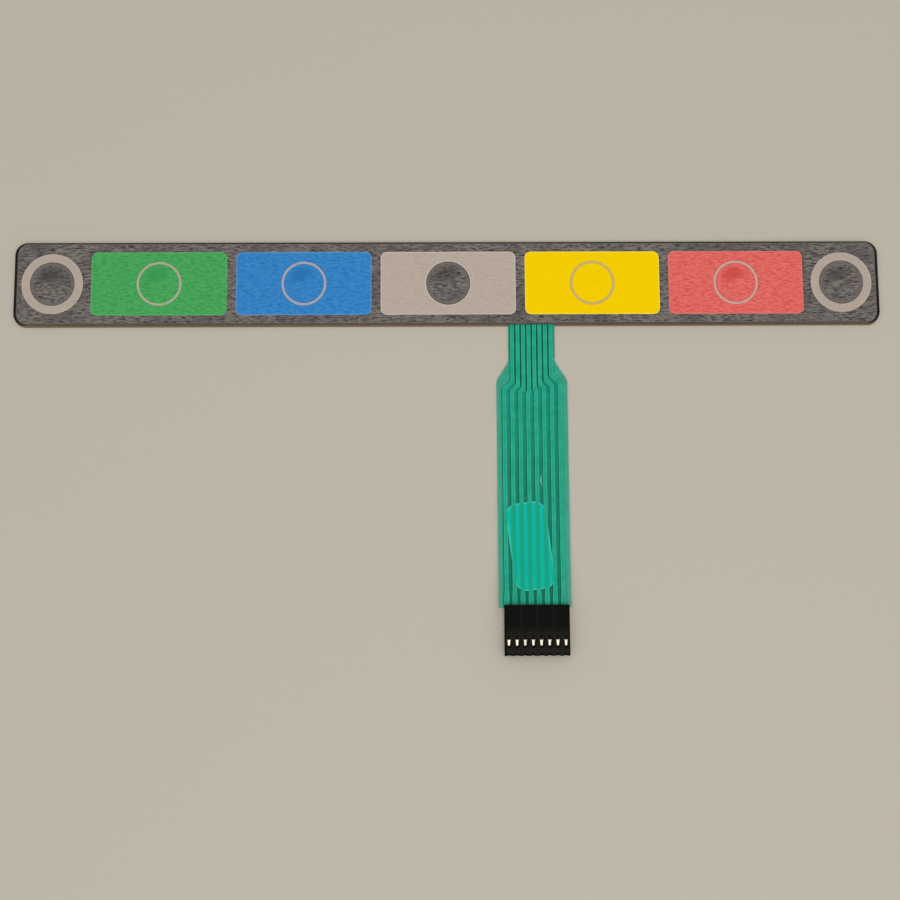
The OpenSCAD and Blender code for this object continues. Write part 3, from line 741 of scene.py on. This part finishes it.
# %% Finish the film, the silver and the pad
clear_film = blotched("Clear polyester", 8 * mm, (226, 230, 222), (238, 240, 234), (0.12, 0.2), 0.002 * mm)
set_shader(clear_film, "Alpha", 0.06)
silver = blotched("Printed silver", 1 * mm, (168, 170, 166), (192, 194, 190), (0.45, 0.6), 0.003 * mm, "Grit")
set_shader(silver, "Metallic", 0.5)
pad_finish = blotched("Blue adhesive pad", 4 * mm, (84, 222, 230), (104, 232, 238), (0.5, 0.6), 0.004 * mm)
finish_nodes(clear_film, "circuit_film")
finish_nodes(silver, "conductor_print")
finish_nodes(pad_finish, "tail_pad")

# %% [markdown]
# ## The green coat on the tail
#
# This is the part's most telling surface. A green varnish covers the tail: over a silver line it is opaque
# and stands up as a low ridge, between the lines it is clear enough to show the table and the pad, and at the
# foot of each ridge it is painted darker, as painted shade. The lines leave the strip closely spaced, step
# out one after another, and run on at the receptacle's pitch.
#
# A flat texture would blur the lines, so the coat is one closed mesh whose columns follow the edges of
# the eight lines, and the finish changes from column to column. The columns' places are a formula: a
# line is straight, steps aside at 45 degrees, and is straight again.

# %% Work out where the lines run
ways = 8
way_pitch = 2.54 * mm
root_pitch = 1.775 * mm
line_w = 1.25 * mm
left_jog = 22.75 * mm
right_jog = 21.75 * mm
left_jog_step = 0.88 * mm
right_jog_step = 1.1 * mm
crimp_gap = 1 * mm
crimp_lead = 2.2 * mm
flare_l = 2.6 * mm
past_shoulders = -60 * mm
film_points = [v.co for v in nodes["circuit_film"].data.vertices]
tail_xs = [point.x for point in film_points if point.y < past_shoulders]
tail_x = (min(tail_xs) + max(tail_xs)) / 2
edge_y = strip_low.y
mould_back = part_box("connector_housing")[1].y
middle = (ways - 1) / 2


def line_x(way, offset, y):
    start = tail_x + (way - middle) * root_pitch
    step = (way - middle) * (way_pitch - root_pitch)
    jog, jog_step = (left_jog, left_jog_step) if way < middle else (right_jog, right_jog_step)
    turn = jog_step * abs(way - middle) - jog
    top = edge_y + turn + abs(step) / 2 + math.copysign(offset * math.tan(math.pi / 8), step * offset)
    share = min(1, max(0, (top - y) / abs(step)))
    flare = (way_pitch - crimp_gap - line_w) / 2
    spread = flare * min(1, max(0, (mould_back + crimp_lead + flare_l - y) / flare_l))
    return start + step * share + offset + math.copysign(spread, offset)


print("line 1 runs from %.2f to %.2f mm" % (line_x(0, 0, edge_y) / mm, line_x(0, 0, mould_back) / mm))

# %% [markdown]
# The tail's outline is narrow at the root, slants out in two shoulders with rounded ends, and is
# straight from there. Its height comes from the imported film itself: the highest point at each place
# down the tail, joined by straight stretches.

# %% Read the tail's outline and height
root_margin = 0.61 * mm
side_margin = 1.27 * mm
root_l = 10.95 * mm
root_half = ((ways - 1) * root_pitch + line_w) / 2 + root_margin
wide_half = ways * way_pitch / 2 + side_margin
root_end = edge_y - root_l
shoulder_r = 4 * mm
shoulder_a = math.radians(33)
slant = (wide_half - root_half - 2 * shoulder_r * (1 - math.cos(shoulder_a))) / math.sin(shoulder_a)
shoulder_l = 2 * shoulder_r * math.sin(shoulder_a) + slant * math.cos(shoulder_a)


def half_width(y):
    down = min(shoulder_l, max(0, root_end - y))
    arc = shoulder_r * math.sin(shoulder_a)
    if down < arc:
        return root_half + shoulder_r - math.sqrt(shoulder_r ** 2 - down ** 2)
    if down > shoulder_l - arc:
        return wide_half - shoulder_r + math.sqrt(shoulder_r ** 2 - (shoulder_l - down) ** 2)
    return root_half + shoulder_r * (1 - math.cos(shoulder_a)) + (down - arc) * math.tan(shoulder_a)


highest = {}
for point in film_points:
    if point.y <= edge_y + mm:
        at = round(point.y, 6)
        highest[at] = max(highest.get(at, -1), point.z)
film_ys = np.array(sorted(highest))
film_zs = np.array([highest[y] for y in film_ys])


def film_top(y):
    return float(np.interp(y, film_ys, film_zs))


print("film top from %.3f to %.3f mm above the table" % (film_zs.min() / mm, film_zs.max() / mm))

# %% [markdown]
# Now the mesh. At each place down the tail, one row of points runs across it. Each line adds eight points:
# the foot, the shoulder, where the dark foot ends and where the pale edge ends, on either side. The dark foot
# is painted shade and the pale edge a painted highlight. Against each line's left side the painted shadow
# reaches further out, and one more point marks where it begins. A second row lies underneath, a hair above
# the film and over the silver, and the two are closed at the sides and ends. In the root the gaps are so
# tight that they are painted dark all through, as painted shade.

# %% Lay out one row across the tail
silver_t = 0.02 * mm
coat_t = 0.02 * mm
coat_lap = 0.1 * mm
tight_gap = 0.6 * mm
tight_reach = 0.05 * mm
foot_shade_w = 0.2 * mm
edge_band = 0.24 * mm
hair = 0.002 * mm
# The line edges are a painted highlight. The finishes at the feet and in tight gaps are painted shade.
over_silver, highlit_line_edge, bare, margin, shaded_foot, deep, fold = range(7)


def coat_row(y):
    """Points across the tail as (x, low, high), and the finish of the strip after each point."""
    foot = line_w / 2 + coat_lap
    half = half_width(y)
    flat, ridge = (hair, coat_t), (silver_t + hair, silver_t + coat_t)
    lines = [(line_x(way, -foot, y), line_x(way, foot, y)) for way in range(ways)]
    tight = [False] + [after[0] - before[1] < tight_gap for before, after in zip(lines, lines[1:])] + [False]
    side = bare if lines[0][0] - (tail_x - half) < tight_gap else margin
    points, finishes = [(tail_x - half, *flat)], []
    for way, (left, right) in enumerate(lines):
        # Both feet of a line take painted shade, darker still in a tight gap.
        near, far = [deep if tight[i] else shaded_foot for i in (way, way + 1)]
        reach = coat_lap + (tight_reach if tight[way + 1] else 0)
        room = left - points[-1][0]
        # On a line's left side the painted shadow reaches further out, up to a third of the room.
        points += [(left - min(foot_shade_w, room / 3), *flat), (left, *flat)]
        points += [(left + inset, *ridge) for inset in (coat_lap / 2, coat_lap, coat_lap + edge_band)]
        points += [(right - inset, *ridge) for inset in (reach + edge_band, reach, coat_lap / 2)]
        points.append((right, *flat))
        between = deep if tight[way] else bare
        finishes += [between if way else side] + [near] * 3
        # The line edges are a painted highlight on the shoulders of each ridge.
        finishes += [highlit_line_edge, over_silver, highlit_line_edge] + [far] * 2
    points.append((tail_x + half, *flat))
    finishes.append(side)
    return points, finishes


print("a row has", len(coat_row(past_shoulders)[0]), "points")

# %% [markdown]
# The rows lie close together where the lines step aside, and by the receptacle, where they widen. The
# straight stretches need far fewer.

# %% Build the coat
under_strip = 0.5 * mm
coat_end = mould_back - 1 * mm
coarse_step, fine_step = 1.2 * mm, 0.2 * mm
jogs_low, jogs_high = -38.5 * mm, -30 * mm
end_l = 4.5 * mm
stations = [edge_y + under_strip, edge_y]
while stations[-1] > coat_end:
    y = stations[-1]
    fine = jogs_low < y < jogs_high or y < mould_back + end_l
    stations.append(max(coat_end, y - (fine_step if fine else coarse_step)))


def add_band(bm, row, following, finishes):
    for i, finish in enumerate(finishes):
        bm.faces.new((row[i], row[i + 1], following[i + 1], following[i])).material_index = finish


bm = bmesh.new()
top_rows, low_rows = [], []
for y in stations:
    points, finishes = coat_row(y)
    base = film_top(y)
    top_rows.append([bm.verts.new((x, y, base + high)) for x, low, high in points])
    low_rows.append([bm.verts.new((x, y, base + low)) for x, low, high in points])
    if len(top_rows) > 1:
        for rows in (top_rows, low_rows):
            add_band(bm, rows[-2], rows[-1], finishes)
        for i in (0, -1):
            side = (top_rows[-2][i], top_rows[-1][i], low_rows[-1][i], low_rows[-2][i])
            bm.faces.new(side).material_index = bare
for end in (0, -1):
    add_band(bm, top_rows[end], low_rows[end], finishes)
print("coat has", len(stations), "rows")

# %% [markdown]
# Inside the strip the coat is a plain layer with an opening under each dome, of which only the cut edge
# shows. One short curved fold was pressed into the tail by handling, and the coat is coloured pale along it.
# It is a sliver that follows the film's height.

# %% Add the coat inside the strip and the fold
pocket_r = 6.25 * mm
strip_film_top = film_top(edge_y)
add_sheet(bm, strip_outline(), [circle(x, pocket_r) for x in key_x], bare, strip_film_top + hair,
          strip_film_top + silver_t + coat_t)

fold_x, fold_y, fold_l, fold_w = 29.15 * mm, -64 * mm, 4 * mm, 0.3 * mm
fold_bow, fold_h, fold_tip = 0.45 * mm, 0.06 * mm, 0.06
fold_steps = 12
rings = []
for i in range(fold_steps + 1):
    t = i / fold_steps
    y = fold_y + fold_l * (0.5 - t)
    x = fold_x + fold_bow * (2 * t - 1) ** 2
    swell = math.sin(math.pi * (fold_tip + (1 - 2 * fold_tip) * t))
    base = film_top(y) + coat_t
    side, ridge = fold_w / 2 * swell, fold_h * swell
    rings.append([bm.verts.new((x + dx, y, base + dz)) for dx, dz in
                  ((-side, -coat_t / 2), (0, ridge), (side, -coat_t / 2))])
for a, b in zip(rings, rings[1:]):
    for i in range(3):
        j = (i + 1) % 3
        bm.faces.new((a[i], a[j], b[j], b[i])).material_index = fold
for end in (rings[0], rings[-1]):
    bm.faces.new(end).material_index = fold
print("fold mark has", len(rings), "rings")

# %% [markdown]
# ## Where the pad shows through
#
# A patch of adhesive lies under the tail, a little askew. Where its glue touches the film, the coat looks
# brighter. Its outline shows as a pale line, and just outside it, where the film stands off the table, the
# coat is painted darker, as painted shade. One node group gives these masks from the distance to a rounded
# rectangle, with the patch's own place, turn and size as its inputs.

# %% Build the group for the patch
patch, take, give = new_group("Rounded patch", {"Centre X": 0, "Centre Y": 0, "Turn": 0, "Width": 0.01,
                                                "Height": 0.01, "Radius": 0.001},
                              ["Inside", "Outside", "Outline", "Shade around"])
axes = add_axes(patch, add_place(patch))
dx, dy = [add_math(patch, "SUBTRACT", axes[axis], take["Centre " + axis]) for axis in "XY"]
cosine, sine = [add_math(patch, name, take["Turn"]) for name in ("COSINE", "SINE")]
dx_cos, dx_sin = [add_math(patch, "MULTIPLY", dx, factor) for factor in (cosine, sine)]
dy_cos, dy_sin = [add_math(patch, "MULTIPLY", dy, factor) for factor in (cosine, sine)]
along = add_math(patch, "ADD", dx_cos, dy_sin)
across = add_math(patch, "SUBTRACT", dy_cos, dx_sin)

radius = take["Radius"]
beyond = []
for offset, size in ((along, "Width"), (across, "Height")):
    core = add_math(patch, "SUBTRACT", add_math(patch, "MULTIPLY", take[size], 0.5), radius)
    beyond.append(add_math(patch, "SUBTRACT", add_math(patch, "ABSOLUTE", offset), core))
corner = [add_math(patch, "POWER", add_math(patch, "MAXIMUM", value, 0), 2) for value in beyond]
outer = add_math(patch, "SQRT", add_math(patch, "ADD", *corner))
inner = add_math(patch, "MINIMUM", add_math(patch, "MAXIMUM", *beyond), 0)
distance = add_math(patch, "SUBTRACT", add_math(patch, "ADD", outer, inner), radius)

fade = 0.06 * mm
outline_in = 0.12 * mm
shade_around_w = 1.6 * mm
from_outline = add_math(patch, "ABSOLUTE", add_math(patch, "ADD", distance, outline_in))
# The mask just outside the outline is for painted shade.
feed(patch, give, {"Inside": add_range(patch, distance, fade, -fade),
                   "Outside": add_range(patch, distance, -fade, fade),
                   "Outline": add_range(patch, from_outline, 2 * outline_in, outline_in),
                   "Shade around": add_range(patch, distance, shade_around_w, 0)})


def in_plan(x, y, width, height, radius, turn=0):
    return {"Centre X": x, "Centre Y": y, "Turn": turn, "Width": width, "Height": height, "Radius": radius}

# %% [markdown]
# ## Finishes that change at a place
#
# Near the receptacle the film rises off the table, and the coat between the lines is painted darker there, as
# painted shade. The receptacle's own finish also changes along its length and with its height, where its
# lower parts are painted shade. One group tells on which side of a place along Y, and of a height, a point
# lies.

# %% Build the group that splits a finish
halves, take, give = new_group("Split", {"Y": 0, "Z": 0, "Softness": 0.1 * mm},
                               ["Beyond Y", "Short of Y", "Above Z"])
axes = add_axes(halves, add_place(halves))
past_y, past_z = [add_math(halves, "SUBTRACT", axes[axis], take[axis]) for axis in "YZ"]
feed(halves, give, {"Beyond Y": add_share(halves, past_y, take["Softness"]),
                    "Short of Y": add_share(halves, past_y, take["Softness"], -1),
                    "Above Z": add_share(halves, past_z, take["Softness"])})

# %% [markdown]
# ## The coat's finishes
#
# The coat is opaque over the silver, a little lighter along its edges as a painted highlight, clear enough
# between the lines for the table to show, and painted darker at the feet of the lines as painted shade. Alpha
# is the same all over each of them, so it is set on the shader's own socket. The clear parts are painted
# darker down the tail, as painted shade where the film lifts off the table, and darkest by the receptacle.
# The patch's masks then change each finish's colour, most of all where the coat is clear.

# %% Finish the coat
half_down = (-46 * mm, 20 * mm)
by_mould = (-92 * mm, 5 * mm)
pad_place = in_plan(tail_x - 1.2 * mm, -84.8 * mm, 12.6 * mm, 27.5 * mm, 3.6 * mm, math.radians(7.2))


def coat_finish(name, dark, light, alpha, by_patch=(), shade_down_the_tail=()):
    """A cover is a screen colour and a strength. By the patch there is one round it, which is painted shade,
    one on it and one for its outline. Down the tail each cover, of painted shade where the film lifts off the
    table, comes after its start and the length over which it fades in."""
    finish = blotched(name, 3 * mm, dark, light, (0.3, 0.44), 0.003 * mm, gloss=0.06)
    set_shader(finish, "Alpha", alpha)
    for (start, length), *cover in shade_down_the_tail:
        add_mask(finish, halves, {"Y": start, "Softness": length}, "Short of Y", *cover)
    for label, cover in zip(("Shade around", "Inside", "Outline"), by_patch):
        add_mask(finish, patch, pad_place, label, *cover)
    return finish


# The darker covers by the receptacle, down the tail and round the patch are painted shade.
coat_finishes = [
    coat_finish("Green coat over silver", (28, 158, 124), (38, 172, 138), 1,
                [((10, 120, 96), 0.1), ((22, 165, 132), 0.9), ((50, 195, 165), 0.2)]),
    coat_finish("Highlit green coat at a line edge", (52, 179, 145), (62, 192, 158), 1,
                [((10, 130, 104), 0.1), ((26, 163, 132), 0.9), ((60, 205, 180), 0.3)]),
    coat_finish("Green coat over bare film", (0, 160, 134), (8, 172, 144), 0.6,
                [((0, 118, 96), 0.5), ((0, 214, 186), 1), ((90, 240, 218), 0.8)],
                [(half_down, (2, 146, 120), 0.85), (by_mould, (0, 122, 100), 0.5)]),
    coat_finish("Green coat along the tail's sides", (0, 184, 153), (6, 196, 165), 0.45,
                [((0, 160, 130), 0.3), ((0, 218, 190), 1), ((40, 230, 208), 0.4)],
                [(by_mould, (0, 168, 138), 0.5)]),
    coat_finish("Green coat in painted shade at a line's foot", (4, 104, 82), (12, 116, 94), 0.85,
                [((0, 84, 68), 0.6), ((6, 190, 162), 1), ((70, 215, 195), 0.7)],
                [(by_mould, (6, 94, 76), 0.7)]),
    coat_finish("Green coat in painted shade in a tight gap", (0, 90, 67), (4, 102, 77), 0.95,
                [((0, 70, 60), 0.4), ((0, 150, 130), 1), ((30, 190, 170), 0.3)]),
    coat_finish("Fold mark", (128, 222, 188), (148, 232, 200), 1),
]
# The coat's cut edges are painted darker, as painted shade.
add_mask(coat_finishes[bare], cut, crisp, "Edge", (58, 54, 44))
finish_piece("tail_coat", bm, coat_finishes, ["insulating_coat"])

# %% [markdown]
# ## The receptacle and its contacts
#
# The moulding is black glass-filled nylon, satin, with a fine grit from the mould. Its upper face is a dark
# grey, lighter at the front than over the crimps at the rear. Below a thin skin at the top, the finish is
# painted near-black as painted shade: its long edges, its recesses and its sides. The three fine grooves over
# the crimps are a lighter grey.

# %% Finish the moulding
moulding = blotched("Black nylon", 1.2 * mm, (3, 3, 3), (7, 7, 6), (0.42, 0.58), 0.006 * mm, "Grit",
                    gloss=0.05)
mould_low, mould_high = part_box("connector_housing")
mould_x = centre_x("connector_housing")
mould_y = (mould_low.y + mould_high.y) / 2
mould_w, mould_l = mould_high.x - mould_low.x, mould_high.y - mould_low.y
rear_l = 7.6 * mm
groove_w = 0.2 * mm
grey_end = 2.1 * mm
grey_fade = 3.2 * mm
grey_top_skin = 0.2 * mm
black_edge = 0.5 * mm
upper_skin = {"Z": mould_high.z - grey_top_skin, "Softness": 0.05 * mm}
to_the_rear = {"Y": mould_back - rear_l - grey_end, "Softness": grey_fade}
# Only a thin skin at the top gets the grey. The near-black below it is painted shade.
add_mask(moulding, halves, upper_skin, "Above Z", (31, 29, 25))
add_mask(moulding, halves, to_the_rear, "Beyond Y", (9, 9, 7), 0.95)
for ways_away in (-2, 0, 2):
    groove = in_plan(mould_x + ways_away * way_pitch, mould_back - rear_l / 2, groove_w, rear_l, groove_w / 4)
    add_mask(moulding, patch, groove, "Inside", (42, 42, 39), 0.8)
# The long edges outside this place are painted near-black, as painted shade.
grey_top_place = in_plan(mould_x, mould_y, mould_w - 2 * black_edge, mould_l, 0.3 * mm)
add_mask(moulding, patch, grey_top_place, "Outside", (3, 3, 3))
print("moulding %.1f by %.1f mm" % (mould_w / mm, mould_l / mm))

# %% [markdown]
# The rims of the windows and of the notches in the front edge are painted black too, as painted shade in
# those recesses. Both repeat at every way. The node group below folds the row onto one way, and gives the
# inside of a rounded place there.

# %% Keep the rims of windows and notches black
row, take, give = new_group("Row of places", {"Middle X": 0, "Pitch": way_pitch, "Centre Y": 0,
                                              "Width": 0.002, "Length": 0.003}, ["Inside"])
axes = add_axes(row, add_place(row))
along = add_math(row, "SUBTRACT", axes["X"], take["Middle X"])
share = add_math(row, "FRACT", add_math(row, "DIVIDE", along, take["Pitch"]))
aside = add_math(row, "MULTIPLY", add_math(row, "SUBTRACT", share, 0.5), take["Pitch"])
ahead = add_math(row, "SUBTRACT", axes["Y"], take["Centre Y"])
reach = []
for offset, size in ((aside, "Width"), (ahead, "Length")):
    part = add_math(row, "MULTIPLY", add_math(row, "DIVIDE", offset, take[size]), 2)
    reach.append(add_math(row, "POWER", add_math(row, "ABSOLUTE", part), 3))
feed(row, give, {"Inside": add_range(row, add_math(row, "ADD", *reach), 1.2, 0.8)})

window_rim = {"Centre Y": mould_low.y + 4.4 * mm, "Width": 2.1 * mm, "Length": 3.9 * mm}
notch_rim = {"Centre Y": mould_low.y, "Width": 1.8 * mm, "Length": 1.7 * mm}
# The window and notch rims are painted black, as painted shade in those recesses.
for rim_place in (window_rim, notch_rim):
    add_mask(moulding, row, {"Middle X": mould_x, "Pitch": way_pitch, **rim_place}, "Inside", (2, 2, 2))
finish_nodes(moulding, "connector_housing")

# %% [markdown]
# The contacts are plated bronze. Their latches stand up out of the box into the light, while the box below
# sits in the shade of its cavity, and that shade is painted into its colour as a dark bronze. The sheet of a
# latch curls down along both sides, so only its middle mirrors the lamp, and that middle is wider towards the
# free end. The curl is not in the mesh, so the sides are painted darker, as painted shade.

# %% Finish the contacts
latch, take, give = new_group("Latch", {"Middle X": 0, "Start Y": 0, "Half width": 0.0002, "Flare": 0.1,
                                        "Softness": 0.0001}, ["Sides"])
axes = add_axes(latch, add_place(latch))
aside = add_math(latch, "SUBTRACT", axes["X"], take["Middle X"])
along = add_math(latch, "SUBTRACT", axes["Y"], take["Start Y"])
wider = add_math(latch, "MULTIPLY", along, take["Flare"])
room = add_math(latch, "ADD", take["Half width"], wider)
past = add_math(latch, "SUBTRACT", add_math(latch, "ABSOLUTE", aside), room)
feed(latch, give, {"Sides": add_share(latch, past, take["Softness"])})

latch_root = 2.48 * mm
latch_start = mould_low.y + 3.2 * mm
for way in range(ways):
    name = "contact_%d" % (way + 1)
    plated = blotched("Plated bronze of " + name, 1 * mm, (14, 12, 8), (24, 21, 15), (0.3, 0.4), 0.002 * mm)
    set_shader(plated, "Metallic", 1)
    # Below latch_root the finish stays dark bronze, which is painted shade in the box's cavity. The latch
    # above gets the bright plating.
    add_mask(plated, halves, {"Z": latch_root, "Softness": 0.02 * mm}, "Above Z", (183, 176, 160))
    curl = {"Middle X": mould_x + (way - middle) * way_pitch, "Start Y": latch_start, "Half width": 0.18 * mm,
            "Flare": 0.09, "Softness": 0.14 * mm}
    # The sides of each latch are painted darker, as painted shade where the sheet curls down.
    add_mask(plated, latch, curl, "Sides", (48, 43, 33))
    finish_nodes(plated, name)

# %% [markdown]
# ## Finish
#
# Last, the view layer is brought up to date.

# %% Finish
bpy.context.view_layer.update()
